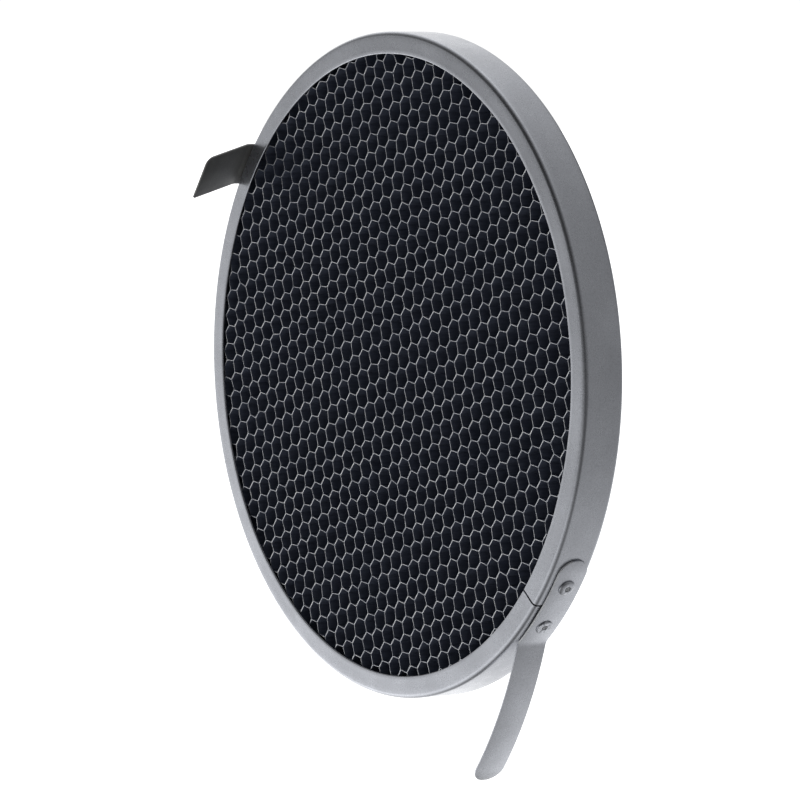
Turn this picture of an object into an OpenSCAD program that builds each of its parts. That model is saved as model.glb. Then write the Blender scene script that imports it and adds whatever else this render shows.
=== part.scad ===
// Honeycomb grid for a round reflector: a corrugated foil core held in a rolled channel band,
// with a riveted spring strap across the band's seam and a finger tab opposite it.
// The pieces are drawn with the grid's axis along +Z and its front face up, and upright()
// then stands the grid on edge: front face to -Y, the band's rear rim in the plane Y = 0.

/* [Band] */
// Outside diameter of the band
band_od = 180; // [170:1:200]
// Depth of the band from its rear rim to its front edge
band_depth = 12.8; // [11.5:0.1:16]
// Width of each lip, from the band's outside to the lip's free edge
lip_w = 6; // [5:0.1:8]
// Thickness of the band's sheet
band_t = 0.6; // [0.4:0.05:0.8]
// Outside radius where a lip meets the side wall
corner_r = 1.7; // [1.2:0.1:2.2]
// Angle by which the front lip rises towards its free edge
lip_rise = 4; // [0:0.5:6]
// Angle round the grid of the band's seam, counted from +X as seen from the front
seam_at = -41; // [-44:0.1:-39]
// Gap left at the seam
seam_gap = 0.45; // [0.2:0.05:0.6]
// Angle of the seam's cut away from the radius
seam_slant = 0; // [0:1:20]

/* [Honeycomb core] */
// Distance between bonded walls, measured across the expanded core
cell_w = 5.3; // [4.8:0.1:6.5]
// Length of one corrugation along a strip
cell_l = 8.8; // [8:0.1:11]
// Thickness of the foil
foil_t = 0.1; // [0.05:0.01:0.15]
// Angle of the strips round the grid's axis
strip_angle = 50.5; // [0:0.5:90]
// Distance from the band's front edge to the core's front edge
core_inset = 1; // [1:0.1:1.5]

/* [Spring strap] */
// Width of the strap
strap_w = 9; // [7:0.5:10]
// Thickness of the strap
strap_t = 0.5; // [0.4:0.05:0.8]
// Distance from the band's front edge to the strap's centre line
strap_inset = 7.3; // [6:0.1:7.5]
// Angle round the grid where the strap bends away from the band
bend_at = -50.6; // [-56:0.1:-48]
// Angle round the grid of the riveted part's round end
strap_end_at = -31.1; // [-34:0.1:-30]
// Angle between the free arm and the band where the arm leaves it
arm_splay = 31.4; // [20:0.1:35]
// Length of the free arm along its curve, without the curled tip
arm_l = 43; // [35:0.5:50]
// Radius of the free arm's curve
arm_r = 114; // [90:2:200]
// Length of the arm's tip that curls back towards the band
curl_l = 2; // [2:0.5:4]
// Radius of the tip's curl
curl_r = 20; // [5:0.5:40]

/* [Finger tab] */
// Angle round the grid of the tab's centre line
tab_at = 143.8; // [140:0.1:146]
// Width of the tab
tab_w = 13.7; // [10:0.1:16]
// Thickness of the tab
tab_t = 0.5; // [0.4:0.05:0.8]
// Length of the leaning blade
tab_l = 17.1; // [12:0.1:20]
// Angle by which the blade leans in over the core
tab_lean = 21.5; // [10:0.5:30]
// Height of the tab's bend above the band's front edge
tab_bend_h = 0.1; // [0:0.1:3]
// Inside radius of the tab's bend
tab_bend_r = 2.5; // [1:0.5:4]
// Radius of the blade's rounded corner
tab_corner_r = 2.4; // [1:0.1:4]

/* [Rivets] */
// Angle round the grid of the upper strap rivet
upper_rivet_at = -36.7; // [-38:0.1:-35]
// Angle round the grid of the lower strap rivet
lower_rivet_at = -46.1; // [-47.5:0.1:-45]
// Diameter of a rivet's head
head_d = 4.7; // [4:0.1:6]
// Diameter of a rivet's shank
shank_d = 2.4; // [2:0.1:3.2]
// Height of a domed head
dome_h = 1; // [0.6:0.1:1.4]
// Height of a flat head
flat_h = 0.45; // [0.3:0.05:0.6]
// Diameter of the blind end that is swelled against the inside of the band
bulb_d = 3.4; // [3:0.1:4]
// Length of the blind end
bulb_l = 1.9; // [1.5:0.1:2.2]
// Diameter of the mandrel left inside a rivet
mandrel_d = 1.4; // [1:0.1:1.8]
// Distance of each tab rivet from the tab's centre line
tab_rivet_x = 4; // [3:0.1:4.5]

/* [Hidden] */
$fn = 96;
band_r = band_od / 2;
lip_r = band_r - lip_w;
skin_gap = 0.03;
slip_gap = 0.05;
far = 100;
arc_steps = 10;
arm_steps = 12;
curl_steps = 4;
bend_steps = 6;

// Front corner of the band's section: the lip's slope meets the corner's arc at its tangent point
corner_x = band_r - corner_r;
lip_run = corner_x + corner_r * sin(lip_rise) - lip_r;
front_corner_z = band_depth - corner_r * cos(lip_rise) - lip_run * tan(lip_rise);

// Core: neighbouring strips are bonded flat to flat with a thin film between them
bond_film = 0.02;
wave_h = cell_w / 2 - foil_t - bond_film;
strip_pitch = cell_w / 2;
core_clearance = 0.3;
core_r = band_r - band_t - core_clearance;
core_z0 = core_inset;
core_h = band_depth - 2 * core_inset;
half_strips = floor((core_r - wave_h) / strip_pitch);
strip_count = 2 * half_strips + 1;
strips_per_node = 2;
core_nodes = ceil(strip_count / strips_per_node);
flat_share = 1 / 3;
slope_angle = atan(wave_h / (cell_l * (1 / 2 - flat_share)));
wave_count = ceil(core_r / cell_l) + 1;
cut_offset = flat_share / 2;
cut_step = 1 / 4;

// The core's edge is cut back where the blind ends of the rivets reach in
relief_gap = 0.4;
relief_r = band_r - band_t - bulb_l - relief_gap;
relief_half = 3;
tab_rivet_turn = asin(tab_rivet_x / band_r);
rivet_angles = [upper_rivet_at, lower_rivet_at, tab_at - tab_rivet_turn, tab_at + tab_rivet_turn];

// Strap
strap_z = band_depth - strap_inset;
strap_r = band_r + skin_gap;
hinge_r = strap_r + strap_t / 2;
hinge_gap = 0.3;
hinge_turn = (strap_t / 2 + hinge_gap) / hinge_r * 180 / PI;
end_fullness = 0.51;
end_r = end_fullness * strap_w;
round_end_at = strap_end_at - end_r / strap_r * 180 / PI;
arm_turn = arm_l / arm_r * 180 / PI;
curl_turn = curl_l / curl_r * 180 / PI;
arm_heading = bend_at - 90 + arm_splay;

// Tab
tab_x = band_r + skin_gap;
tab_foot_z = 1.4;
tab_rivet_z = 6;
tab_sharp_r = 0.4;

// Rivets
bore_reach = 3;
dimple_depth = 0.5;
grip_slack = 0.12;

function core_name(i) = str("core_strips_", i < 10 ? "0" : "", i);

// Signed difference between two angles, within half a turn
function turn_between(a, b) = let (d = a - b) d - 360 * round(d / 360);

// How far the core reaches in the direction a, cut back next to a rivet
function core_edge(a) =
    min([for (r = rivet_angles) abs(turn_between(a, r)) < relief_half ? relief_r : core_r]);

// Corners of one side of a corrugated strip, as [x, level]: flat at 1, down, flat at -1, up.
// side is 1 for the upper side of the foil and -1 for the lower, and keeps the slopes full thick.
function wave_corners(phase, side) =
    let (d = side * foil_t / 2 * tan(slope_angle / 2))
    [for (k = [-wave_count : wave_count]) each [
        [(k - phase) * cell_l - d, 1],
        [(k - phase + flat_share) * cell_l + d, 1],
        [(k - phase + 1 / 2) * cell_l + d, -1],
        [(k - phase + 1 / 2 + flat_share) * cell_l - d, -1]
    ]];

// One side of the strip between x0 and x1, as points about the strip's own centre line
function wave_side(x0, x1, phase, side) =
    let (
        corners = wave_corners(phase, side),
        inner = [for (c = corners) if (c[0] > x0 && c[0] < x1) c],
        path = concat([[x0, lookup(x0, corners)]], inner, [[x1, lookup(x1, corners)]])
    )
    [for (c = path) [c[0], c[1] * wave_h / 2 + side * foil_t / 2]];

// The grid stands on edge: its axis, drawn along +Z, is turned to point along -Y
module upright() {
    rotate([90, 0, 0]) children();
}

// Places children at radius r and angle a round the grid, with their +X pointing outwards
module around(a, r = 0) {
    rotate([0, 0, a]) translate([r, 0, 0]) children();
}

// Half of a filled section of the band, shrunk by inset from its outside
module filled_section(inset) {
    arc_r = corner_r - inset;
    free_x = lip_r - inset;
    free_z = front_corner_z + arc_r * cos(lip_rise)
        + (corner_x + arc_r * sin(lip_rise) - free_x) * tan(lip_rise);
    tangent = [corner_x + arc_r * sin(lip_rise), front_corner_z + arc_r * cos(lip_rise)];
    polygon([
        [free_x, inset],
        [corner_x, inset],
        [corner_x, corner_r],
        [band_r - inset, corner_r],
        [band_r - inset, front_corner_z],
        [corner_x, front_corner_z],
        tangent,
        [free_x, free_z]
    ]);
    translate([corner_x, corner_r]) circle(arc_r);
    translate([corner_x, front_corner_z]) circle(arc_r);
}

module band_section() {
    difference() {
        filled_section(0);
        filled_section(band_t);
    }
}

// Round bar along the local X axis, from x0 to x1
module radial_bar(d, x0, x1) {
    translate([x0, 0, 0]) rotate([0, 90, 0]) cylinder(d = d, h = x1 - x0);
}

module strap_rivet_place(a) {
    around(a) translate([0, 0, strap_z]) children();
}

module tab_rivet_places() {
    around(tab_at) {
        translate([0, -tab_rivet_x, tab_rivet_z]) children();
        translate([0, tab_rivet_x, tab_rivet_z]) children();
    }
}

// Cutter for one rivet's hole through the sheets
module rivet_bore() {
    radial_bar(shank_d + 2 * slip_gap, band_r - bore_reach, band_r + bore_reach);
}

module strap_bores() {
    strap_rivet_place(upper_rivet_at) rivet_bore();
    strap_rivet_place(lower_rivet_at) rivet_bore();
}

module seam_slit() {
    around(seam_at, band_r - lip_w / 2) rotate([0, 0, seam_slant])
        translate([-2 * lip_w, -seam_gap / 2, -1]) cube([4 * lip_w, seam_gap, band_depth + 2]);
}

module rim_band() {
    color([0.62, 0.64, 0.67]) upright() difference() {
        rotate_extrude($fn = 180) band_section();
        seam_slit();
        strap_bores();
        tab_rivet_places() rivet_bore();
    }
}

// One corrugated foil strip; odd and even strips are half a wave apart, so that they meet at flats
module foil_strip(i) {
    y = i * strip_pitch;
    phase = i % 2 == 0 ? 0 : 0.5;
    y_far = abs(y) + wave_h / 2 + foil_t;
    full = sqrt(core_r * core_r - y_far * y_far);
    x1 = cut_below(strip_reach(full, y, 0));
    x0 = cut_above(-strip_reach(full, y, 180));
    upper = wave_side(x0, x1, phase, 1);
    lower = wave_side(x0, x1, phase, -1);
    lower_back = [for (k = [len(lower) - 1 : -1 : 0]) lower[k]];
    translate([0, y, core_z0]) linear_extrude(core_h) polygon(concat(upper, lower_back));
}

// Reach of a strip along its own direction (side 0) or against it (side 180)
function strip_reach(full, y, side) =
    let (
        end_angle = side == 0 ? atan2(y, full) : atan2(y, -full),
        edge = core_edge(end_angle + strip_angle)
    )
    edge < core_r ? sqrt(edge * edge - y * y) - strip_pitch / 2 : full;

// The corners of a strip lie at sixths of cell_l, and it is cut half way between two of them
function cut_below(x) = (floor((x / cell_l - cut_offset) / cut_step) * cut_step + cut_offset) * cell_l;
function cut_above(x) = (ceil((x / cell_l - cut_offset) / cut_step) * cut_step + cut_offset) * cell_l;

// A node of the core: neighbouring strips, numbered across the core
module core_strips(n) {
    first = -half_strips + (n - 1) * strips_per_node;
    last = min(first + strips_per_node - 1, half_strips);
    color([0.13, 0.13, 0.15]) upright() rotate([0, 0, strip_angle])
        for (i = [first : last]) foil_strip(i);
}

// Curved sheet that lies on the band between two angles
module wall_sheet(a0, a1, r, t) {
    rotate([0, 0, a0]) rotate_extrude(angle = a1 - a0)
        translate([r, strap_z - strap_w / 2]) square([t, strap_w]);
}

module strap_foot() {
    color([0.62, 0.64, 0.67]) upright() difference() {
        intersection() {
            wall_sheet(bend_at + hinge_turn, strap_end_at + 1, strap_r, strap_t);
            around(round_end_at) translate([0, 0, strap_z]) {
                radial_bar(2 * end_r, band_r - bore_reach, band_r + bore_reach);
                translate([0, -band_r / 2, -strap_w]) cube([2 * band_r, band_r / 2, 2 * strap_w]);
            }
        }
        strap_bores();
    }
}

// Points [x, y, heading] along an arc that starts at [x, y] and turns right by turn degrees.
// The start is left out. A negative r with a negative turn makes an arc to the left.
function arc_path(start, r, turn, steps) =
    let (
        cx = start[0] + r * sin(start[2]),
        cy = start[1] - r * cos(start[2])
    )
    [for (i = [1 : steps]) let (h = start[2] - turn * i / steps) [cx - r * sin(h), cy + r * cos(h), h]];

// Points along a circle's arc, from angle a0 to angle a1
function arc_points(c, r, a0, a1) =
    [for (i = [0 : arc_steps]) let (a = a0 + (a1 - a0) * i / arc_steps) c + r * [cos(a), sin(a)]];

// A point of a sheet's outline: off the path by d, to the left of its heading
function off_path(p, d) = [p[0] - d * sin(p[2]), p[1] + d * cos(p[2])];

// Sheet of thickness t and width w that follows a path of [x, y, heading] points
module bent_sheet(path, t, w) {
    left = [for (p = path) off_path(p, t / 2)];
    right = [for (i = [len(path) - 1 : -1 : 0]) off_path(path[i], -t / 2)];
    linear_extrude(w) polygon(concat(left, right));
}

// Outline, with the strap's length along X, that trims its end to a round tip at x = reach
module tip_outline(reach) {
    centre_x = reach - end_r;
    polygon(concat(
        [[centre_x - far, -strap_w], [centre_x, -strap_w]],
        arc_points([centre_x, 0], end_r, -90, 90),
        [[centre_x, strap_w], [centre_x - far, strap_w]]
    ));
}

arm_start = [0, 0, 0];
arm_curve = arc_path(arm_start, arm_r, arm_turn, arm_steps);
curl_start = arm_curve[len(arm_curve) - 1];
curl_curve = arc_path(curl_start, curl_r, curl_turn, curl_steps);

module spring_arm() {
    color([0.62, 0.64, 0.67]) upright() translate([0, 0, strap_z]) around(bend_at, hinge_r)
        rotate([0, 0, arm_heading - bend_at]) intersection() {
            translate([0, 0, -strap_w / 2])
                bent_sheet(concat([arm_start], arm_curve, curl_curve), strap_t, strap_w);
            translate([curl_start[0], curl_start[1], 0]) rotate([0, 0, curl_start[2]])
                translate([0, strap_w, 0]) rotate([90, 0, 0]) linear_extrude(2 * strap_w)
                    tip_outline(curl_r * sin(curl_turn));
        }
}

// Blind rivet: a head outside, a shank through the sheets and a swelled end inside the band.
// x = 0 is the face that the head sits on, and grip is the thickness that the rivet holds.
module blind_rivet(head_h, dome, grip) {
    dome_r = (head_d * head_d / 4 + head_h * head_h) / (2 * head_h);
    bore_d = mandrel_d + 2 * slip_gap;
    rotate([0, 90, 0]) difference() {
        union() {
            if (dome) {
                intersection() {
                    translate([0, 0, head_h - dome_r]) sphere(dome_r);
                    cylinder(d = head_d, h = head_h);
                }
            } else {
                cylinder(d = head_d, h = head_h);
            }
            translate([0, 0, -grip]) cylinder(d = shank_d, h = grip);
            translate([0, 0, -grip - bulb_l]) cylinder(d = bulb_d, h = bulb_l);
        }
        translate([0, 0, -grip - bulb_l - 1]) cylinder(d = bore_d, h = grip + bulb_l + head_h + 2);
    }
}

// What is left of the mandrel: a plug that ends below the head, so that a dimple shows
module mandrel_plug(head_h, grip) {
    radial_bar(mandrel_d, -grip - bulb_l, head_h - dimple_depth);
}

// A blind end's flat face stays clear of the round wall
strap_grip = strap_t + skin_gap + band_t + grip_slack;

module on_strap(a) {
    upright() strap_rivet_place(a) translate([strap_r + strap_t, 0, 0]) children();
}

module upper_rivet() {
    color([0.66, 0.67, 0.69]) on_strap(upper_rivet_at) blind_rivet(dome_h, true, strap_grip);
}

module lower_rivet() {
    color([0.66, 0.67, 0.69]) on_strap(lower_rivet_at) blind_rivet(flat_h, false, strap_grip);
}

module upper_mandrel() {
    color([0.35, 0.35, 0.36]) on_strap(upper_rivet_at) mandrel_plug(dome_h, strap_grip);
}

module lower_mandrel() {
    color([0.35, 0.35, 0.36]) on_strap(lower_rivet_at) mandrel_plug(flat_h, strap_grip);
}

// Side profile of the tab, with X outwards and Y forward: a straight foot, a bend and the blade
tab_foot_end = [tab_x + tab_t / 2, band_depth + tab_bend_h, 90];
tab_bend = arc_path(tab_foot_end, -(tab_bend_r + tab_t / 2), -tab_lean, bend_steps);
blade_start = tab_bend[len(tab_bend) - 1];
blade_end = [
    blade_start[0] + tab_l * cos(blade_start[2]),
    blade_start[1] + tab_l * sin(blade_start[2]),
    blade_start[2]
];

// Outline that trims the blade's free end, with one corner well rounded
module blade_outline() {
    half = tab_w / 2;
    polygon(concat(
        [[-tab_w, -far], [tab_w, -far], [tab_w, 0], [half, 0]],
        arc_points([half - tab_sharp_r, tab_l - tab_sharp_r], tab_sharp_r, 0, 90),
        arc_points([tab_corner_r - half, tab_l - tab_corner_r], tab_corner_r, 90, 180),
        [[-half, 0], [-tab_w, 0]]
    ));
}

module finger_tab() {
    path = concat([[tab_foot_end[0], tab_foot_z, 90], tab_foot_end], tab_bend, [blade_end]);
    color([0.16, 0.16, 0.17]) upright() difference() {
        around(tab_at) intersection() {
            translate([0, tab_w / 2, 0]) rotate([90, 0, 0]) bent_sheet(path, tab_t, tab_w);
            translate([blade_start[0], 0, blade_start[1]])
                rotate([0, -tab_lean, 0]) rotate([90, 0, 90])
                    translate([0, 0, -tab_w]) linear_extrude(2 * tab_w) blade_outline();
        }
        tab_rivet_places() rivet_bore();
    }
}

// The tab's flat foot stands off the round wall at the rivets by this much
tab_wall_gap = band_r - sqrt(band_r * band_r - tab_rivet_x * tab_rivet_x);
tab_grip = tab_t + skin_gap + band_t + tab_wall_gap + grip_slack;

module tab_rivets() {
    color([0.66, 0.67, 0.69]) upright() tab_rivet_places()
        translate([tab_x + tab_t, 0, 0]) blind_rivet(dome_h, true, tab_grip);
}

module tab_mandrels() {
    color([0.35, 0.35, 0.36]) upright() tab_rivet_places()
        translate([tab_x + tab_t, 0, 0]) mandrel_plug(dome_h, tab_grip);
}

rim_band();
for (i = [1 : core_nodes]) core_strips(i);
strap_foot();
spring_arm();
upper_rivet();
lower_rivet();
upper_mandrel();
lower_mandrel();
finger_tab();
tab_rivets();
tab_mandrels();
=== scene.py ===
"""Looks of the honeycomb grid: painted channel band, expanded foil core, riveted spring strap, finger tab.

Shapes are worked out in millimetres with the grid lying flat: its axis along +Z and its front face up,
with angles counted from +X. stand() then turns them into the frame, where the front faces -Y.
"""

import math

import bmesh
import bpy
import numpy as np
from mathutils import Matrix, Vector, noise


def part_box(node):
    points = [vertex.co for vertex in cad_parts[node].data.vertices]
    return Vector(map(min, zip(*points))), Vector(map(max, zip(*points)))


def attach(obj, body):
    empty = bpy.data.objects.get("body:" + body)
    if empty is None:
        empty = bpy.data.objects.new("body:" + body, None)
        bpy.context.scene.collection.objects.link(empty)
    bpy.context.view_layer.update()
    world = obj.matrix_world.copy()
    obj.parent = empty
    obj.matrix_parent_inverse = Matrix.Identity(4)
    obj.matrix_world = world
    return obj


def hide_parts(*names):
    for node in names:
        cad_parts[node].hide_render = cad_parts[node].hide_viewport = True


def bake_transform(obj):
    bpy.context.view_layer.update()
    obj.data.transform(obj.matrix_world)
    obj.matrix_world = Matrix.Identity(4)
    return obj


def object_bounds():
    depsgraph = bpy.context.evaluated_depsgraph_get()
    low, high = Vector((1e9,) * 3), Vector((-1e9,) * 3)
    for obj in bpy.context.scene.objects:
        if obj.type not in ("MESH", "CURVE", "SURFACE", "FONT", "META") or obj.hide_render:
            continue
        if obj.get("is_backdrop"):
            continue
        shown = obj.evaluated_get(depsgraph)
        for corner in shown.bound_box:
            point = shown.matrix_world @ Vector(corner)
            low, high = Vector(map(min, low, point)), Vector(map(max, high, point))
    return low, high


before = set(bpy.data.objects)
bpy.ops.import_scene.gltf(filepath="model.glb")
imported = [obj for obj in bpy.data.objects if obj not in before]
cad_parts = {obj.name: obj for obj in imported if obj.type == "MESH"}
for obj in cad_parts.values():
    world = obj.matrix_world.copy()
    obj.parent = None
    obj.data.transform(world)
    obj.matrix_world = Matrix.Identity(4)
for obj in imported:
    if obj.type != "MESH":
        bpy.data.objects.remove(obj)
cad_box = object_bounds()

MM = 0.001

# ---------------------------------------------------------------------------------------------
# Dimensions, in millimetres and degrees

band_low, band_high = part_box("rim_band")
BAND_R = band_high.x / MM
BAND_DEPTH = -band_low.y / MM
LIP_W = 6
LIP_R = BAND_R - LIP_W
BAND_T = 0.5
CORNER_R = 1.3
LIP_RISE = math.radians(4)
SEAM_AT = -41
SEAM_GAP = 0.75
BAND_RINGS = 760
# How far round from the seam the band's second end is sunk, and by how much
SUNK_REACH = math.radians(14)
SUNK_BY = 0.2
LIP_SAG = 0.12
WALL_SHRINK = 0.06

CELL_W = 5.3
CELL_L = 8.8
FOIL_T = 0.13
BOND_FILM = 0.02
STRIP_ANGLE = 50.5
STRIP_PITCH = CELL_W / 2
FLAT_SHARE = 1 / 3
FOIL_CORNER_R = 0.32
CORE_R = 88.9
CORE_BACK = 1.1
CORE_FRONT = BAND_DEPTH - 0.68
HALF_STRIPS = 32
STRIPS_PER_NODE = 2

SKIN_GAP = 0.03
SHEET_LIFT = 0.03
EDGE_BEVEL = 0.22
STRAP_W = 9
STRAP_T = 0.5
STRAP_Z = BAND_DEPTH - 7.3
STRAP_R = BAND_R + SKIN_GAP
STRAP_END_AT = -31.1
BEND_AT = -50.6
BEND_R = 4
ARM_SPLAY = 31.4
ARM_L = 43
ARM_R = 114
CURL_L = 2
CURL_R = 20
ARM_ROOT_Z = -71
ARM_TIP_Z = -108.3
# Length of the strap's curled tip that is darkened with painted shade
SHADED_TIP_L = 2.5
# Lengths along the strap before and after the bend, where two points are worked out that nothing uses
FLEX_BEFORE = 1.5
FLEX_AFTER = 3.5

TAB_AT = 143.8
TAB_W = 13.7
TAB_T = 0.5
TAB_L = 17.1
TAB_LEAN = 21.5
TAB_BEND_Z = BAND_DEPTH + 0.1
TAB_BEND_R = 2.75
TAB_FOOT_Z = 1.4
TAB_CORNER_R = 2.4
TAB_SHARP_R = 0.4
TAB_FOOT_R = 1.0
TAB_RIVET_X = 4
TAB_RIVET_Z = 6

UPPER_RIVET_AT = -36.7
LOWER_RIVET_AT = -46.1
HEAD_R = 2.35
SHANK_R = 1.2
BULB_R = 1.7
BULB_L = 1.9
BORE_R = 0.75
MANDREL_R = 0.7
DOME_H = 0.78
FLAT_H = 0.45
STRAP_GRIP = 1.25
TAB_GRIP = 1.34
HOLE_SLACK = 0.05
DRILL_REACH = 4
STUB_RAGGED = 0.25


# ---------------------------------------------------------------------------------------------
# Small helpers

def stand(points):
    """Points of the grid lying flat, in millimetres, as places in the frame, in metres."""
    p = np.asarray(points, float).reshape(-1, 3)
    return np.column_stack([p[:, 0], -p[:, 2], p[:, 1]]) * MM


def turned(angle, x, y, z):
    """A point that lies at x outwards, y along the rim and z forward, at this angle round the grid."""
    a = math.radians(angle)
    return x * math.cos(a) - y * math.sin(a), x * math.sin(a) + y * math.cos(a), z


def make_piece(name, points, faces, material, sharp=40):
    """A mesh piece from points in millimetres, with edges sharper than this many degrees kept crisp."""
    mesh = bpy.data.meshes.new(name)
    mesh.from_pydata(stand(points).tolist(), [], faces)
    mesh.update()
    mesh.materials.append(material)
    piece = bpy.data.objects.new(name, mesh)
    bpy.context.collection.objects.link(piece)
    smooth_faces(piece, sharp)
    return piece


def smooth_faces(piece, sharp=40):
    """Smooth shading, apart from edges sharper than this many degrees."""
    mesh = piece.data
    mesh.polygons.foreach_set("use_smooth", [True] * len(mesh.polygons))
    mesh.set_sharp_from_angle(angle=math.radians(sharp))


def outward(piece):
    """Turns the faces of a closed mesh outwards."""
    work = bmesh.new()
    work.from_mesh(piece.data)
    bmesh.ops.recalc_face_normals(work, faces=work.faces)
    work.to_mesh(piece.data)
    work.free()


def bake_modifiers(piece):
    """Replaces the mesh by what its modifiers make of it."""
    bpy.context.view_layer.update()
    shape = piece.evaluated_get(bpy.context.evaluated_depsgraph_get())
    mesh = bpy.data.meshes.new_from_object(shape)
    piece.modifiers.clear()
    piece.data = mesh
    return piece


def drill(piece, holes, radius):
    """Cuts round holes along the radius. Each hole is (angle, offset along the rim, height)."""
    cutters = []
    for angle, offset, height in holes:
        sides = 48
        rings = []
        for x in (BAND_R - DRILL_REACH, BAND_R + DRILL_REACH):
            for k in range(sides):
                turn = 2 * math.pi * k / sides
                y = offset + radius * math.cos(turn)
                rings.append(turned(angle, x, y, height + radius * math.sin(turn)))
        walls = [(k, (k + 1) % sides, sides + (k + 1) % sides, sides + k) for k in range(sides)]
        caps = [tuple(range(sides))[::-1], tuple(range(sides, 2 * sides))]
        cutter = make_piece("cutter", rings, walls + caps, piece.data.materials[0])
        outward(cutter)
        cut = piece.modifiers.new("hole", "BOOLEAN")
        cut.operation = "DIFFERENCE"
        cut.object = cutter
        cut.solver = "EXACT"
        cutters.append(cutter)
    bake_modifiers(piece)
    for cutter in cutters:
        bpy.data.objects.remove(cutter)
    smooth_faces(piece)


# ---------------------------------------------------------------------------------------------
# Materials

class Nodes:
    """A material's node tree, with short calls for the nodes that the materials share."""

    def __init__(self, name):
        self.material = bpy.data.materials.new(name)
        self.material.use_nodes = True
        self.tree = self.material.node_tree
        self.shader = self.tree.nodes["Principled BSDF"]
        place = self.add("ShaderNodeTexCoord")
        self.place = place.outputs["Object"]

    def add(self, kind):
        return self.tree.nodes.new(kind)

    def link(self, a, b):
        self.tree.links.new(a, b)

    def set(self, socket, value):
        self.shader.inputs[socket].default_value = value

    def noise(self, size, detail=2, rough=0.5, stretch=(1, 1, 1)):
        """Noise whose features are about this many millimetres across."""
        scale = self.add("ShaderNodeMapping")
        scale.inputs["Scale"].default_value = [s / (size * MM) for s in stretch]
        self.link(self.place, scale.inputs["Vector"])
        out = self.add("ShaderNodeTexNoise")
        out.inputs["Scale"].default_value = 1
        out.inputs["Detail"].default_value = detail
        out.inputs["Roughness"].default_value = rough
        self.link(scale.outputs["Vector"], out.inputs["Vector"])
        return out.outputs["Fac"]

    def ramp(self, value, stops):
        """Colours along a value, from a list of (value, colour)."""
        ramp = self.add("ShaderNodeValToRGB")
        ramp.color_ramp.elements[0].position = stops[0][0]
        ramp.color_ramp.elements[0].color = (*stops[0][1], 1)
        ramp.color_ramp.elements[1].position = stops[-1][0]
        ramp.color_ramp.elements[1].color = (*stops[-1][1], 1)
        for at, colour in stops[1:-1]:
            ramp.color_ramp.elements.new(at).color = (*colour, 1)
        self.link(value, ramp.inputs["Fac"])
        return ramp.outputs["Color"]

    def spread(self, value, low, high, from_low=0.3, from_high=0.7):
        """Turns values from from_low to from_high into values from low to high."""
        spread = self.add("ShaderNodeMapRange")
        spread.inputs["From Min"].default_value = from_low
        spread.inputs["From Max"].default_value = from_high
        spread.inputs["To Min"].default_value = low
        spread.inputs["To Max"].default_value = high
        self.link(value, spread.inputs["Value"])
        return spread.outputs["Result"]

    def mix(self, share, a, b, blend="MIX"):
        """Mixes two colours. Each input is a socket or a value."""
        mix = self.add("ShaderNodeMix")
        mix.data_type = "RGBA"
        mix.blend_type = blend
        for socket, value in (("Factor", share), ("A", a), ("B", b)):
            target = [i for i in mix.inputs if i.name == socket and i.enabled][0]
            if hasattr(value, "node"):
                self.link(value, target)
            else:
                target.default_value = value
        return [o for o in mix.outputs if o.enabled][0]

    def bump(self, layers):
        """Bump from a list of (height, depth in millimetres), one over the other."""
        normal = None
        for height, depth in layers:
            bump = self.add("ShaderNodeBump")
            bump.inputs["Strength"].default_value = 1
            bump.inputs["Distance"].default_value = depth * MM
            self.link(height, bump.inputs["Height"])
            if normal:
                self.link(normal, bump.inputs["Normal"])
            normal = bump.outputs["Normal"]
        self.link(normal, self.shader.inputs["Normal"])


def satin_paint(name, tint=1.0):
    """Silver-grey powder paint: metallic flake under a fine orange peel, slightly cloudy, with a few
    dark scuffs."""
    n = Nodes(name)
    cloud = n.noise(14, detail=3)
    grain = n.noise(0.35, detail=3, rough=0.7)
    dark = tuple(tint * c for c in (0.438, 0.452, 0.490))
    light = tuple(tint * c for c in (0.498, 0.514, 0.556))
    base = n.ramp(cloud, [(0.3, dark), (0.7, light)])
    speck = n.ramp(grain, [
        (0.3, (0.80, 0.80, 0.80)),
        (0.5, (1, 1, 1)),
        (0.72, (1.13, 1.13, 1.13)),
    ])
    scuff = n.spread(n.noise(0.9, detail=2, stretch=(0.2, 1, 1)), 0.0, 0.5, 0.70, 0.76)
    paint = n.mix(1.0, base, speck, "MULTIPLY")
    n.link(n.mix(scuff, paint, (0.30, 0.31, 0.33, 1)), n.shader.inputs["Base Color"])
    n.set("Metallic", 0.85)
    n.link(n.spread(n.noise(3, detail=3), 0.25, 0.32), n.shader.inputs["Roughness"])
    n.bump([(n.noise(0.5, detail=2), 0.012), (n.noise(2.5, detail=1), 0.02)])
    return n


def arm_tone_and_tip_shade(n):
    """Makes the strap's paint lighter down its arm, and darkens its curled tip with painted shade, flecked
    with dark specks.
    """
    height = n.add("ShaderNodeSeparateXYZ")
    n.link(n.place, height.inputs["Vector"])
    down = n.spread(height.outputs["Z"], 1.0, 0.0, ARM_TIP_Z * MM, ARM_ROOT_Z * MM)
    tip = n.spread(height.outputs["Z"], 1.0, 0.0, ARM_TIP_Z * MM, (ARM_TIP_Z + SHADED_TIP_L) * MM)
    speck = n.spread(n.noise(0.45, detail=2), 1.0, 0.0, 0.33, 0.40)
    paint = n.shader.inputs["Base Color"].links[0].from_socket
    light = n.mix(down, paint, n.mix(1.0, paint, (1.20, 1.20, 1.19, 1), "MULTIPLY"))
    # Painted shade: the tip's paint is darkened, then flecked with near-black specks
    shaded_tip_paint = n.mix(1.0, light, (0.74, 0.74, 0.74, 1), "MULTIPLY")
    shaded_tip_specked = n.mix(speck, shaded_tip_paint, (0.16, 0.16, 0.16, 1))
    n.link(n.mix(tip, light, shaded_tip_specked), n.shader.inputs["Base Color"])
    return n.material


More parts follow.
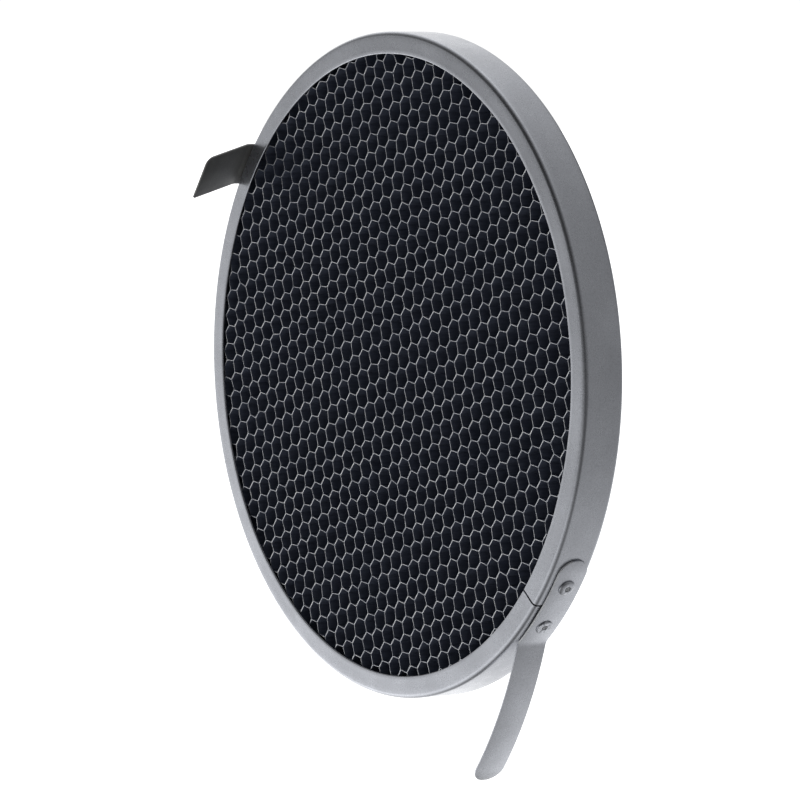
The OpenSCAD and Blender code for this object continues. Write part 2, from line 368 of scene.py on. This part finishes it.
def front_edge_highlight():
    """Painted highlight along the strap's front-facing edge: a bright metal colour, lighter in patches."""
    n = Nodes("strap_edge_highlight")
    patch = n.noise(1.2, detail=3, rough=0.6)
    base = n.ramp(patch, [(0.3, (0.78, 0.79, 0.81)), (0.7, (0.96, 0.97, 0.98))])
    n.link(base, n.shader.inputs["Base Color"])
    n.set("Metallic", 0.5)
    n.link(n.spread(patch, 0.55, 0.40), n.shader.inputs["Roughness"])
    n.bump([(n.noise(0.3, detail=2), 0.01)])
    return n.material


def foil_wall():
    """Black lacquer on foil, a little blue, with faint streaks along the depth."""
    n = Nodes("foil_black")
    cloud = n.noise(5, detail=2)
    streak = n.noise(0.6, detail=3, stretch=(1, 0.12, 1))
    base = n.ramp(cloud, [(0.3, (0.100, 0.116, 0.164)), (0.7, (0.145, 0.166, 0.228))])
    fleck = n.ramp(streak, [(0.35, (0.85, 0.85, 0.85)), (0.7, (1.2, 1.2, 1.2))])
    n.link(n.mix(1.0, base, fleck, "MULTIPLY"), n.shader.inputs["Base Color"])
    n.set("Metallic", 0.0)
    n.set("Specular IOR Level", 0.25)
    n.link(n.spread(streak, 0.5, 0.7), n.shader.inputs["Roughness"])
    n.bump([(streak, 0.02)])
    return n.material


def foil_cut():
    """Bare aluminium where the foil was cut, dull in places."""
    n = Nodes("foil_cut_edge")
    patch = n.noise(1.6, detail=3, rough=0.6)
    base = n.ramp(patch, [
        (0.3, (0.45, 0.47, 0.52)),
        (0.5, (0.78, 0.80, 0.85)),
        (0.68, (0.98, 0.99, 1.0)),
    ])
    n.link(base, n.shader.inputs["Base Color"])
    n.set("Metallic", 0.6)
    n.link(n.spread(patch, 0.5, 0.35), n.shader.inputs["Roughness"])
    n.bump([(n.noise(0.2, detail=2), 0.01)])
    return n.material


def rivet_steel():
    """Dull steel of a mandrel broken off inside its rivet, with painted shade darkening the pits that its
    bump sinks in.
    """
    n = Nodes("mandrel_steel")
    patch = n.noise(0.5, detail=4, rough=0.7)
    # The darkest stop is painted shade in the pits, where the same noise sinks the bump
    base = n.ramp(patch, [
        (0.34, (0.10, 0.10, 0.11)),
        (0.42, (0.40, 0.41, 0.43)),
        (0.7, (0.48, 0.49, 0.51)),
    ])
    n.link(base, n.shader.inputs["Base Color"])
    n.set("Metallic", 0.8)
    n.link(n.spread(patch, 0.35, 0.6), n.shader.inputs["Roughness"])
    n.bump([(patch, 0.06)])
    return n.material


def tab_black():
    """Dark satin lacquer with a fine grain and a faint greenish-brown cast."""
    n = Nodes("tab_black")
    cloud = n.noise(6, detail=3)
    grain = n.noise(0.3, detail=3, rough=0.7)
    base = n.ramp(cloud, [(0.3, (0.190, 0.190, 0.186)), (0.7, (0.255, 0.254, 0.246))])
    fleck = n.ramp(grain, [(0.3, (0.75, 0.75, 0.75)), (0.7, (1.25, 1.25, 1.25))])
    n.link(n.mix(1.0, base, fleck, "MULTIPLY"), n.shader.inputs["Base Color"])
    n.set("Metallic", 0.0)
    n.set("Specular IOR Level", 0.5)
    n.link(n.spread(grain, 0.34, 0.46), n.shader.inputs["Roughness"])
    n.bump([(grain, 0.012), (n.noise(4, detail=1), 0.03)])
    return n.material


BAND_PAINT = satin_paint("band_paint").material
STRAP_PAINT = arm_tone_and_tip_shade(satin_paint("strap_paint", tint=1.04))
STRAP_EDGE_HIGHLIGHT = front_edge_highlight()
RIVET_PAINT = satin_paint("rivet_paint", tint=1.0).material
FOIL_BLACK = foil_wall()
FOIL_CUT = foil_cut()
MANDREL_STEEL = rivet_steel()
TAB_BLACK = tab_black()


# ---------------------------------------------------------------------------------------------
# Channel band

def arc(centre, radius, start, end, steps):
    """Points of an arc as (radius, height, outward angle), angles in radians."""
    angles = [start + (end - start) * k / steps for k in range(steps + 1)]
    return [(centre[0] + radius * math.cos(a), centre[1] + radius * math.sin(a), a) for a in angles]


def line(start, end, facing, steps):
    """Points between two ends of a straight stretch, all with the same outward angle."""
    run = end[0] - start[0]
    rise = end[1] - start[1]
    shares = [k / steps for k in range(1, steps)]
    return [(start[0] + run * f, start[1] + rise * f, facing) for f in shares]


def band_profile():
    """The channel's section: its outside as (radius, height, outward angle), lip edge to lip edge."""
    corner_x = BAND_R - CORNER_R
    lip_facing = math.pi / 2 - LIP_RISE
    run = corner_x + CORNER_R * math.sin(LIP_RISE) - LIP_R
    front_z = BAND_DEPTH - CORNER_R * math.cos(LIP_RISE) - run * math.tan(LIP_RISE)
    front = arc((corner_x, front_z), CORNER_R, lip_facing, 0, 14)
    rear = arc((corner_x, CORNER_R), CORNER_R, 0, -math.pi / 2, 12)
    half_t = BAND_T / 2
    lip_end = (LIP_R + half_t, BAND_DEPTH - half_t * math.tan(LIP_RISE))
    rear_end = (LIP_R + half_t, 0.0)
    outside = [(*lip_end, lip_facing)]
    outside += line(lip_end, front[0], lip_facing, 5)
    outside += front
    outside += line(front[-1], rear[0], 0.0, 8)
    outside += rear
    outside += line(rear[-1], rear_end, -math.pi / 2, 5)
    outside += [(*rear_end, -math.pi / 2)]
    return outside


def closed_section(outside):
    """The sheet's whole section as (radius, height), its free edges rounded over."""
    inside = [(r - BAND_T * math.cos(a), z - BAND_T * math.sin(a)) for r, z, a in outside]
    section = [(r, z) for r, z, _ in outside]
    section += round_edge(outside[-1], -1)
    section += inside[::-1]
    section += round_edge(outside[0], 1)
    return section


def round_edge(end, way):
    """Rounds a free edge from the outside (way -1, rear lip) or back to it (way 1, front lip)."""
    r, z, facing = end
    half_t = BAND_T / 2
    centre = (r - half_t * math.cos(facing), z - half_t * math.sin(facing))
    start = facing if way < 0 else facing + math.pi
    points = arc(centre, half_t, start, start - math.pi, 6)[1:-1]
    return [(x, y) for x, y, _ in points]


def smooth_step(x):
    """0 below 0, 1 above 1, and an even curve between."""
    x = min(max(x, 0.0), 1.0)
    return x * x * (3 - 2 * x)


def make_band():
    """The rolled band: its section swept round to the seam, a little wavy as rolled sheet is."""
    outside = band_profile()
    section = closed_section(outside)
    count = len(section)
    points = []
    for k in range(BAND_RINGS + 1):
        share = k / BAND_RINGS
        swept = 2 * math.pi * share
        near_end = 1 - smooth_step((2 * math.pi - swept) / SUNK_REACH)
        for r, z in section:
            gap = SEAM_GAP / r
            angle = math.radians(SEAM_AT) + gap / 2 + (2 * math.pi - gap) * share
            spot = Vector((math.cos(angle), math.sin(angle), 0))
            lift = 0.16 * noise.noise(spot * 3.1) + 0.05 * noise.noise(spot * 9.0 + Vector((5, 0, 0)))
            push = 0.10 * noise.noise(spot * 2.3 + Vector((0, 7, 0)))
            free = smooth_step((BAND_R - 1 - r) / (LIP_W - 1))
            front = smooth_step((z - BAND_DEPTH / 2) / 2)
            dz = -free * (LIP_SAG + lift) * front
            dz -= SUNK_BY * near_end ** 2 * front
            dr = -WALL_SHRINK - push * 0.6 - SUNK_BY * near_end ** 2
            points.append(((r + dr) * math.cos(angle), (r + dr) * math.sin(angle), z + dz))
    faces = []
    for k in range(BAND_RINGS):
        a = k * count
        for j in range(count):
            n = (j + 1) % count
            faces.append((a + j, a + count + j, a + count + n, a + n))
    last = BAND_RINGS * count
    outside_n = len(outside)
    edge_n = (count - 2 * outside_n) // 2
    for base in (0, last):
        cap = end_cap(base, count, outside_n, edge_n)
        faces += cap if base else [f[::-1] for f in cap]
    band = make_piece("rim_band_rolled", points, faces, BAND_PAINT, sharp=50)
    outward(band)
    drill(band, rivet_holes(), SHANK_R + HOLE_SLACK)
    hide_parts("rim_band")
    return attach(band, "grid")


def end_cap(base, count, outside_n, edge_n):
    """Faces that close one end of the split band, as rungs between the sheet's two sides."""
    start = outside_n + edge_n
    rungs = [(j, start + outside_n - 1 - j) for j in range(outside_n)]
    faces = []
    for (a, b), (c, d) in zip(rungs, rungs[1:]):
        faces.append((base + a, base + c, base + d, base + b))
    faces.append(tuple(base + j for j in range(outside_n - 1, start + 1)))
    faces.append(tuple(base + j for j in (*range(start + outside_n - 1, count), 0)))
    return faces


def rivet_holes():
    """Every hole for a rivet, as (angle, offset along the rim, height): the strap's, then the tab's."""
    return [
        (UPPER_RIVET_AT, 0, STRAP_Z),
        (LOWER_RIVET_AT, 0, STRAP_Z),
        (TAB_AT, -TAB_RIVET_X, TAB_RIVET_Z),
        (TAB_AT, TAB_RIVET_X, TAB_RIVET_Z),
    ]


# ---------------------------------------------------------------------------------------------
# Expanded foil core

WAVES = math.ceil(CORE_R / CELL_L) + 2
dice = np.random.default_rng(29)
# One row for each pair of neighbouring strips, one column for each bond along them
bond_rows = 2 * HALF_STRIPS + 2
bond_slip = dice.normal(0, 0.12, (bond_rows, 2 * WAVES + 1))
bond_stretch = dice.normal(0, 0.15, (bond_rows, 2 * WAVES + 1))
bond_shift = dice.normal(0, 0.075, (bond_rows, 2 * WAVES + 1))
bond_tilt = dice.normal(0, 0.045, (bond_rows, 2 * WAVES + 1))
bond_lift = dice.uniform(-0.12, 0.0, (bond_rows, 2 * WAVES + 1))


def bond(row, wave):
    """Ends of the bond between strips row and row + 1, as (x, y, lift) from left to right."""
    phase = 0 if row % 2 == 0 else 0.5
    i = row + HALF_STRIPS + 1
    j = wave + WAVES
    middle = (wave - phase + FLAT_SHARE / 2) * CELL_L + bond_slip[i, j]
    half = FLAT_SHARE / 2 * CELL_L + bond_stretch[i, j] / 2
    y = (row + 0.5) * STRIP_PITCH + bond_shift[i, j]
    # Slow waves across the core, where the foil was stretched unevenly
    y += 0.5 * math.sin(middle / 21 + y / 34) + 0.3 * math.sin(y / 13 - middle / 29)
    middle += 0.6 * math.sin(y / 23 + 1) + 0.3 * math.sin(middle / 17 + y / 11)
    tilt = bond_tilt[i, j]
    lift = bond_lift[i, j]
    return (middle - half, y - tilt, lift), (middle + half, y + tilt, lift)


def strip_corners(i):
    """Corners of strip i's own centre line: bonded above, then below, and so on."""
    step = FOIL_T / 2 + BOND_FILM / 2
    corners = []
    for row, side in ((i, -1), (i - 1, 1)):
        for wave in range(-WAVES, WAVES + 1):
            for x, y, lift in bond(row, wave):
                corners.append((x, y + side * step, lift))
    corners.sort()
    return corners


def rounded(corners, radius):
    """Each corner of a line replaced by a short curve."""
    out = []
    for before, here, after in zip(corners, corners[1:], corners[2:]):
        for share in (0, 0.5, 1):
            a = Vector(here).lerp(Vector(before), radius / (Vector(here) - Vector(before)).length)
            b = Vector(here).lerp(Vector(after), radius / (Vector(here) - Vector(after)).length)
            out.append(a.lerp(Vector(here), share).lerp(Vector(here).lerp(b, share), share))
    return out


def within(path):
    """The stretch of a path that lies inside the band's channel."""
    return [p for p in path if math.hypot(p.x, p.y) < CORE_R]


def under_lip(radius):
    """How far the foil's front edge is pressed down where it runs under the band's front lip."""
    return 0.15 * smooth_step(radius - LIP_R + 0.5) + max(radius - LIP_R, 0) * math.tan(LIP_RISE)


def strip_mesh(i, start):
    """Points, wall faces and cut faces of one foil strip, numbered from start."""
    path = within(rounded(strip_corners(i), FOIL_CORNER_R))
    turn = math.radians(STRIP_ANGLE)
    points = []
    for k, p in enumerate(path):
        a = path[max(k - 1, 0)]
        b = path[min(k + 1, len(path) - 1)]
        heading = math.atan2(b.y - a.y, b.x - a.x)
        across = Vector((-math.sin(heading), math.cos(heading), 0)) * FOIL_T / 2
        for side in (1, -1):
            q = p + across * side
            x = q.x * math.cos(turn) - q.y * math.sin(turn)
            y = q.x * math.sin(turn) + q.y * math.cos(turn)
            tuck = under_lip(math.hypot(x, y))
            points.append((x, y, CORE_FRONT + p.z - tuck))
            points.append((x, y, CORE_BACK - p.z))
    walls, cuts = [], []
    for k in range(len(path) - 1):
        a = start + 4 * k
        left, left_back, right, right_back = a, a + 1, a + 2, a + 3
        walls.append((left, left + 4, left_back + 4, left_back))
        walls.append((right, right_back, right_back + 4, right + 4))
        cuts.append((left, right, right + 4, left + 4))
        cuts.append((left_back, left_back + 4, right_back + 4, right_back))
    end = start + 4 * (len(path) - 1)
    walls.append((start, start + 1, start + 3, start + 2))
    walls.append((end, end + 2, end + 3, end + 1))
    return points, walls, cuts


def make_foil(node_number):
    """The foil strips that stand in for one of the core's CAD nodes."""
    first = -HALF_STRIPS + (node_number - 1) * STRIPS_PER_NODE
    last = min(first + STRIPS_PER_NODE - 1, HALF_STRIPS)
    points, walls, cuts = [], [], []
    for i in range(first, last + 1):
        more = strip_mesh(i, len(points))
        points += more[0]
        walls += more[1]
        cuts += more[2]
    name = f"{node_number:02d}"
    foil = make_piece("foil_strips_" + name, points, walls + cuts, FOIL_BLACK, sharp=35)
    foil.data.materials.append(FOIL_CUT)
    foil.data.polygons.foreach_set("material_index", [0] * len(walls) + [1] * len(cuts))
    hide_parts("core_strips_" + name)
    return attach(foil, "grid")


# ---------------------------------------------------------------------------------------------
# Bent sheets: the spring strap and the finger tab

def bent_path(start, legs, step=0.5):
    """Returns a function from length along a path to (x, y, heading), and the lengths of its marks.
    legs are (length, turn to the left in radians), one after the other."""
    marks = [(0.0, *start)]
    for length, turn in legs:
        count = max(math.ceil(length / step), math.ceil(abs(turn) / 0.04), 1)
        for _ in range(count):
            s, x, y, h = marks[-1]
            ds, dh = length / count, turn / count
            marks.append((s + ds, x + ds * math.cos(h + dh / 2), y + ds * math.sin(h + dh / 2), h + dh))
    table = np.array(marks)

    def at(s):
        return [float(np.interp(s, table[:, 0], table[:, c])) for c in (1, 2, 3)]

    return at, table[:, 0]


def sheet_piece(name, at, rungs, place, thickness, material):
    """A flat sheet laid along a path. Each rung is (length, low edge, high edge), and place()
    puts a point of the path and a distance across it where they belong."""
    points, faces = [], []
    for s, low, high in rungs:
        x, y, _ = at(s)
        points += [place(x, y, low), place(x, y, high)]
    for k in range(len(rungs) - 1):
        a = 2 * k
        faces.append((a, a + 1, a + 3, a + 2))
    piece = make_piece(name, points, faces, material)
    solid = piece.modifiers.new("thickness", "SOLIDIFY")
    solid.thickness = thickness * MM
    solid.offset = 0
    solid.use_even_offset = True
    edge = piece.modifiers.new("edges", "BEVEL")
    edge.width = EDGE_BEVEL * MM
    edge.segments = 3
    edge.limit_method = "ANGLE"
    edge.angle_limit = math.radians(50)
    bake_modifiers(piece)
    outward(piece)
    smooth_faces(piece)
    return piece


def end_rungs(radius, half_w, steps=14):
    """(Distance from the tip, half width) along a round end."""
    rungs = []
    for k in range(1, steps + 1):
        turn = math.pi / 2 * k / steps
        rungs.append((radius * (1 - math.cos(turn)), min(radius * math.sin(turn), half_w)))
    return rungs


def make_strap():
    """The spring strap, one sheet from its riveted round end to the free arm's tip."""
    end = math.radians(STRAP_END_AT)
    middle_r = STRAP_R + SHEET_LIFT + STRAP_T / 2
    start = (middle_r * math.cos(end), middle_r * math.sin(end), end - math.pi / 2)
    splay = math.radians(ARM_SPLAY)
    tangent = BEND_R * math.tan(splay / 2)
    foot_l = middle_r * math.radians(STRAP_END_AT - BEND_AT)
    legs = [
        (foot_l - tangent, -(foot_l - tangent) / middle_r),
        (BEND_R * splay, splay),
        (ARM_L - tangent, -(ARM_L - tangent) / ARM_R),
        (CURL_L, -CURL_L / CURL_R),
    ]
    at, marks = bent_path(start, legs)
    total = marks[-1]
    half = STRAP_W / 2
    tip = end_rungs(half, half)
    rungs = [(d, -h, h) for d, h in tip]
    rungs += [(s, -half, half) for s in marks if half + 0.2 < s < total - half - 0.2]
    rungs += [(total - d, -h, h) for d, h in tip[::-1]]

    def place(x, y, v):
        return x, y, STRAP_Z + v

    strap = sheet_piece("spring_strap", at, rungs, place, STRAP_T, STRAP_PAINT)
    drill(strap, rivet_holes()[:2], SHANK_R + HOLE_SLACK)
    strap.data.materials.append(STRAP_EDGE_HIGHLIGHT)
    bend_z = stand([(*at(foot_l)[:2], STRAP_Z)])[0][2]
    # Faces that face the front, above the bend, take the painted highlight colour
    for face in strap.data.polygons:
        lit_front_edge = face.normal.y < -0.3 and face.center.z > bend_z
        face.material_index = 1 if lit_front_edge else 0
    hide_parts("strap_foot", "spring_arm")
    before = stand([(*at(foot_l - FLEX_BEFORE)[:2], STRAP_Z)])[0]
    after = stand([(*at(foot_l + FLEX_AFTER)[:2], STRAP_Z)])[0]
    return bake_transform(strap)


def make_tab():
    """The finger tab: a foot flat on the band, one bend, and a blade with one round corner."""
    lean = math.radians(TAB_LEAN)
    middle_x = BAND_R + SKIN_GAP + TAB_T / 2
    foot_l = TAB_BEND_Z - TAB_FOOT_Z
    legs = [(foot_l, 0.0), (TAB_BEND_R * lean, lean), (TAB_L, 0.0)]
    at, marks = bent_path((middle_x, TAB_FOOT_Z, math.pi / 2), legs)
    total = marks[-1]
    half = TAB_W / 2

    def cut(s, radius):
        over = max(s - (total - radius), 0.0)
        return radius - math.sqrt(max(radius * radius - over * over, 0.0))

    def foot_cut(s):
        over = max(TAB_FOOT_R - s, 0.0)
        return TAB_FOOT_R - math.sqrt(max(TAB_FOOT_R * TAB_FOOT_R - over * over, 0.0))

    lengths = sorted(
        [s for s in marks if TAB_FOOT_R + 0.1 < s < total - TAB_CORNER_R - 0.1]
        + [TAB_FOOT_R - TAB_FOOT_R * math.cos(math.pi / 2 * k / 6) for k in range(7)]
        + [total - TAB_CORNER_R * (1 - math.sin(math.pi / 2 * k / 12)) for k in range(13)]
    )
    rungs = []
    for s in lengths:
        low = -half + cut(s, TAB_CORNER_R) + foot_cut(s)
        high = half - cut(s, TAB_SHARP_R) - foot_cut(s)
        rungs.append((s, low, high))

    def place(x, y, v):
        return turned(TAB_AT, x, v, y)

    tab = sheet_piece("finger_tab_bent", at, rungs, place, TAB_T, TAB_BLACK)
    drill(tab, rivet_holes()[2:], SHANK_R + HOLE_SLACK)
    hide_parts("finger_tab")
    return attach(tab, "grid")


# ---------------------------------------------------------------------------------------------
# Rivets

def lathe(name, profile, place, material, ragged=0.0, seed=0, open_ends=False):
    """Turns a profile of (radius, height) about its axis. Points above 0 get ragged by this much.
    A profile with open ends is closed by a flat cap at each end, any other is a closed ring."""
    sides = 72
    points, faces = [], []
    for k in range(sides):
        turn = 2 * math.pi * k / sides
        for r, h in profile:
            spot = Vector((r * math.cos(turn), r * math.sin(turn), h + seed))
            rough = 0.0
            rim = 0.0
            if h > 0.05:
                rough = ragged * noise.noise(spot * 1.7)
                if r > MANDREL_R * 1.5:
                    rim = 0.6 * ragged * noise.noise(spot * 1.1 + Vector((0, 3, 0)))
            points.append(place(h + rough, (r + rim) * math.cos(turn), (r + rim) * math.sin(turn)))
    count = len(profile)
    last = count - 1 if open_ends else count
    for k in range(sides):
        a = k * count
        b = (k + 1) % sides * count
        for j in range(last):
            n = (j + 1) % count
            faces.append((a + j, a + n, b + n, b + j))
    if open_ends:
        faces.append(tuple(k * count for k in range(sides)))
        faces.append(tuple(k * count + count - 1 for k in range(sides))[::-1])
    piece = make_piece(name, points, faces, material, sharp=60)
    outward(piece)
    smooth_faces(piece, 60)
    return piece


def rivet_profile(head_h, grip, domed):
    """Half section of a blind rivet round its bore, as a closed ring."""
    head = [(HEAD_R - 0.08, 0.0), (HEAD_R, 0.08)]
    if domed:
        edge_h = 0.22 * head_h
        rim_w = 0.28
        for k in range(9):
            turn = math.pi / 2 * k / 8
            out = BORE_R + rim_w + (HEAD_R - BORE_R - rim_w) * math.cos(turn)
            head.append((out, edge_h + (head_h - edge_h) * math.sin(turn)))
    else:
        head += [(HEAD_R - 0.02, 0.6 * head_h), (HEAD_R - 0.15, 0.92 * head_h), (HEAD_R - 0.4, head_h)]
        head += [(HEAD_R - 0.75, 0.88 * head_h), (HEAD_R - 1.05, 0.9 * head_h), (BORE_R + 0.25, head_h)]
    head += [(BORE_R + 0.1, head_h - 0.04), (BORE_R + 0.01, head_h - 0.14)]
    back = -grip - BULB_L
    bulb = [(BORE_R, back + 0.05), (BORE_R + 0.05, back), (BULB_R - 0.35, back)]
    bulb += [(BULB_R - 0.1, back + 0.25), (BULB_R, back + 0.7), (BULB_R, -grip - 0.2)]
    shank = [(BULB_R - 0.15, -grip), (SHANK_R, -grip), (SHANK_R, 0.0)]
    return bulb + shank + head


def plug_profile(head_h, grip):
    """Half section of the mandrel's stub left in a rivet, from its blind end to its broken top."""
    top = head_h - 0.08
    back = -grip - BULB_L
    stem = [(MANDREL_R - 0.06, back), (MANDREL_R, back + 0.08), (MANDREL_R, top - 0.12)]
    broken = [(MANDREL_R - 0.08, top - 0.02), (MANDREL_R - 0.3, top + 0.05), (0.15, top - 0.1)]
    return stem + broken


def outside_at(angle, seat_r, offset, height):
    """Places a rivet's own (height, across, across) with its axis along the radius."""
    return lambda h, a, b: turned(angle, seat_r + h, offset + a, height + b)


def make_strap_rivet(which, angle, head_h, domed, ragged):
    """One of the strap's rivets with its mandrel's stub."""
    place = outside_at(angle, STRAP_R + STRAP_T, 0, STRAP_Z)
    profile = rivet_profile(head_h, STRAP_GRIP, domed)
    rivet = lathe(which + "_rivet_set", profile, place, RIVET_PAINT, ragged, angle)
    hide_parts(which + "_rivet")
    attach(rivet, "grid")
    stub = plug_profile(head_h, STRAP_GRIP)
    plug = lathe(which + "_mandrel_stub", stub, place, MANDREL_STEEL, STUB_RAGGED, angle, True)
    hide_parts(which + "_mandrel")
    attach(plug, "grid")


def make_tab_rivets():
    """The tab's two rivets with their mandrels' stubs."""
    for side, offset in (("left", -TAB_RIVET_X), ("right", TAB_RIVET_X)):
        place = outside_at(TAB_AT, BAND_R + SKIN_GAP + TAB_T, offset, TAB_RIVET_Z)
        profile = rivet_profile(DOME_H, TAB_GRIP, True)
        rivet = lathe("tab_rivet_" + side, profile, place, RIVET_PAINT, 0.05, offset)
        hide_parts("tab_rivets")
        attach(rivet, "grid")
        stub = plug_profile(DOME_H, TAB_GRIP)
        plug = lathe("tab_mandrel_" + side, stub, place, MANDREL_STEEL, STUB_RAGGED, offset, True)
        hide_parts("tab_mandrels")
        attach(plug, "grid")


# ---------------------------------------------------------------------------------------------
# Studio

CAMERA_AZIMUTH = math.radians(55.95)
CAMERA_ELEVATION = math.radians(3.95)
CAMERA_DISTANCE = 1.2465
CAMERA_RIGHT = 0.0059
AIM = Vector((0, -0.0155, -0.0092))
LENS = 208
FLOOR_DROP = 0.14
FLOOR_R = 30
PAPER_WHITE = 1.05
GLOW_SHARPNESS = 9
# Soft white panels round the object: (direction towards the panel, how bright)
GLOWS = [
    ((-0.87, -0.28, -0.42), 1.81),
    ((-0.79, 0.55, -0.25), 1.43),
    ((-0.81, 0.34, 0.47), 1.24),
    ((-0.27, -0.76, -0.58), 1.18),
    ((-0.33, 0.78, -0.53), 0.94),
    ((-0.29, 0.27, 0.92), 0.93),
    ((0.10, 0.58, -0.81), 0.55),
    ((0.23, 0.00, 0.97), 0.38),
    ((0.68, 0.36, -0.64), 0.38),
    ((-0.05, 1.00, -0.08), 0.31),
    ((0.36, -0.56, -0.75), 0.29),
    ((0.76, 0.64, 0.08), 0.27),
    ((0.36, 0.47, 0.81), 0.25),
    ((0.95, -0.21, 0.25), 0.20),
    ((0.80, 0.29, 0.53), 0.19),
    ((0.21, -0.93, -0.31), 0.16),
    ((-0.65, -0.12, 0.75), 0.16),
    ((0.46, 0.81, -0.36), 0.13),
    ((0.28, 0.89, 0.36), 0.06),
    ((0.61, -0.39, 0.69), 0.06),
    ((-0.16, 0.17, -0.97), 0.05),
    ((-0.63, -0.76, -0.14), 0.04),
]


def make_camera():
    """The camera at the photograph's angle and framing."""
    back = Vector((
        math.sin(CAMERA_AZIMUTH) * math.cos(CAMERA_ELEVATION),
        -math.cos(CAMERA_AZIMUTH) * math.cos(CAMERA_ELEVATION),
        math.sin(CAMERA_ELEVATION),
    ))
    right = Vector((math.cos(CAMERA_AZIMUTH), math.sin(CAMERA_AZIMUTH), 0))
    data = bpy.data.cameras.new("camera")
    data.lens = LENS
    camera = bpy.data.objects.new("camera", data)
    bpy.context.collection.objects.link(camera)
    camera.location = AIM + back * CAMERA_DISTANCE + right * CAMERA_RIGHT
    camera.rotation_mode = "QUATERNION"
    camera.rotation_quaternion = (-back).to_track_quat("-Z", "Y")
    bpy.context.scene.camera = camera


def make_world():
    """Studio of soft white panels, each a glow that fades away from its own direction. The camera
    itself sees plain white paper."""
    world = bpy.data.worlds.new("studio")
    world.use_nodes = True
    bpy.context.scene.world = world
    tree = world.node_tree
    tree.nodes.clear()
    way = tree.nodes.new("ShaderNodeTexCoord")

    def step(operation, a, b):
        """One Math node on a socket and a number, or on two sockets."""
        node = tree.nodes.new("ShaderNodeMath")
        node.operation = operation
        tree.links.new(a, node.inputs[0])
        if isinstance(b, (int, float)):
            node.inputs[1].default_value = b
        else:
            tree.links.new(b, node.inputs[1])
        return node.outputs["Value"]

    total = None
    for direction, strength in GLOWS:
        dot = tree.nodes.new("ShaderNodeVectorMath")
        dot.operation = "DOT_PRODUCT"
        dot.inputs[1].default_value = direction
        tree.links.new(way.outputs["Generated"], dot.inputs[0])
        near = step("MAXIMUM", dot.outputs["Value"], 0)
        glow = step("MULTIPLY", step("POWER", near, GLOW_SHARPNESS), strength)
        total = step("ADD", glow, total) if total else glow
    room = tree.nodes.new("ShaderNodeBackground")
    tree.links.new(total, room.inputs["Strength"])
    room.inputs["Color"].default_value = (1, 1, 1, 1)
    paper = tree.nodes.new("ShaderNodeBackground")
    paper.inputs["Color"].default_value = (1, 1, 1, 1)
    paper.inputs["Strength"].default_value = PAPER_WHITE
    seen = tree.nodes.new("ShaderNodeLightPath")
    mix = tree.nodes.new("ShaderNodeMixShader")
    out = tree.nodes.new("ShaderNodeOutputWorld")
    tree.links.new(seen.outputs["Is Camera Ray"], mix.inputs[0])
    tree.links.new(room.outputs["Background"], mix.inputs[1])
    tree.links.new(paper.outputs["Background"], mix.inputs[2])
    tree.links.new(mix.outputs["Shader"], out.inputs["Surface"])


def make_floor():
    """A wide pale floor below the grid. Only the camera sees it, so it neither lights the grid nor
    shades it: the panels below the grid do the floor's lighting."""
    low, _ = cad_box
    mesh = bpy.data.meshes.new("floor")
    sides = 96
    turns = [2 * math.pi * k / sides for k in range(sides)]
    rim = [(FLOOR_R * math.cos(turn), FLOOR_R * math.sin(turn), 0) for turn in turns]
    mesh.from_pydata(rim, [], [tuple(range(sides))])
    material = bpy.data.materials.new("floor_white")
    material.use_nodes = True
    tree = material.node_tree
    shader = tree.nodes["Principled BSDF"]
    shader.inputs["Base Color"].default_value = (0.85, 0.85, 0.85, 1)
    shader.inputs["Roughness"].default_value = 0.9
    shader.inputs["Specular IOR Level"].default_value = 0.1
    shader.inputs["Emission Color"].default_value = (1, 1, 1, 1)
    shader.inputs["Emission Strength"].default_value = PAPER_WHITE
    mesh.materials.append(material)
    floor = bpy.data.objects.new("floor", mesh)
    floor.location.z = low.z - FLOOR_DROP
    floor.visible_diffuse = False
    floor.visible_glossy = False
    floor.visible_shadow = False
    bpy.context.collection.objects.link(floor)
    floor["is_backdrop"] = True


make_camera()
make_world()
make_floor()
bpy.context.scene.view_settings.view_transform = "Standard"

make_band()
for number in range(1, math.ceil((2 * HALF_STRIPS + 1) / STRIPS_PER_NODE) + 1):
    make_foil(number)
make_strap()
make_tab()
make_strap_rivet("upper", UPPER_RIVET_AT, DOME_H, True, 0.06)
make_strap_rivet("lower", LOWER_RIVET_AT, FLAT_H, False, 0.16)
make_tab_rivets()

boxes = {"cad": cad_box, "visual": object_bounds()}
{key: [list(corner) for corner in box] for key, box in boxes.items()}
